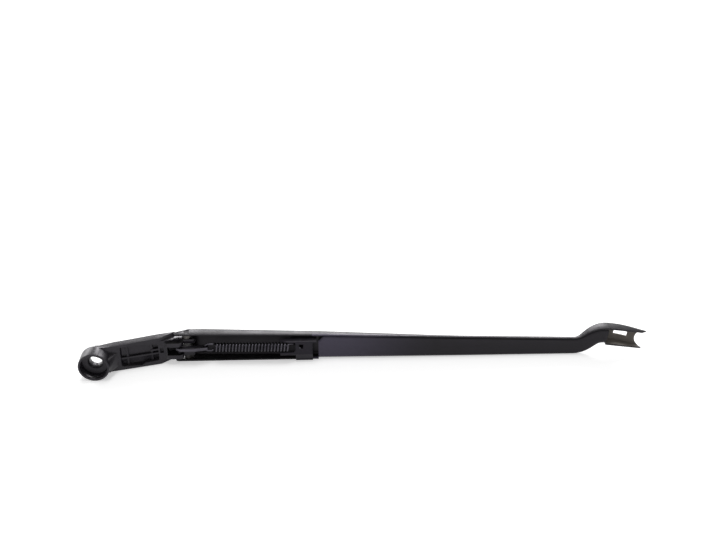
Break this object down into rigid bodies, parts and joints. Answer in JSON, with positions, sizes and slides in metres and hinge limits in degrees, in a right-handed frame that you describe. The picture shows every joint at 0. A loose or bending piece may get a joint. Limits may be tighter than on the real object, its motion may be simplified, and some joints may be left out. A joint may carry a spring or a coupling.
{
  "type": "windscreen wiper arm",
  "caption": "Front wiper arm with a cast mounting head, a hinged folded-sheet channel, a tension spring inside it and an open fitting for the blade.",
  "frame": {"origin": "on the spindle's axis, in the middle of the straight part of the spindle hole", "axes": "+X along the arm towards the blade end, -Y towards the glass, so the spindle leaves towards -Y, +Z across the arm; the arm lies on its side"},
  "size_m": [0.4953, 0.039, 0.0278],
  "materials": {
    "cast_head": "satin black paint on a casting",
    "painted_sheet": "satin black paint on sheet steel",
    "bush_plastic": "matt, natural",
    "pin_steel": "plain steel",
    "rivet_steel": "painted over",
    "bracket_steel": "satin black paint",
    "link_steel": "dark phosphated steel",
    "spring_wire": "dark oiled spring wire"
  },
  "bodies": {
    "head": {"mounting_head": "cast_head", "hinge_bush_upper": "bush_plastic", "hinge_bush_lower": "bush_plastic", "link_pin": "pin_steel"},
    "arm": {"arm_channel": "painted_sheet", "hinge_rivet_upper": "rivet_steel", "hinge_rivet_lower": "rivet_steel", "spring_anchor": "bracket_steel"},
    "link": {"spring_link": "link_steel"},
    "spring": {"tension_spring": "spring_wire"}
  },
  "joints": [
    {"name": "arm_lift", "type": "hinge", "parent": "head", "child": "arm", "pos_m": [0.076, 0.0191, 0], "axis": [0, 0, 1], "range_deg": [0, 60]},
    {"name": "link_turn", "type": "hinge", "parent": "head", "child": "link", "pos_m": [0.0695, 0.0126, 0], "axis": [0, 0, 1], "range_deg": [0, 55.4]},
    {"name": "spring_swing", "type": "hinge", "parent": "arm", "child": "spring", "pos_m": [0.173, 0.0104, 0], "axis": [0, 0, 1], "range_deg": [-4.8, 0], "deforming": ["tension_spring"]}
  ],
  "couplings": [
    {"joint": "link_turn", "follows": "arm_lift", "ratio": 0.922},
    {"joint": "spring_swing", "follows": "arm_lift", "ratio": -0.078}
  ]
}
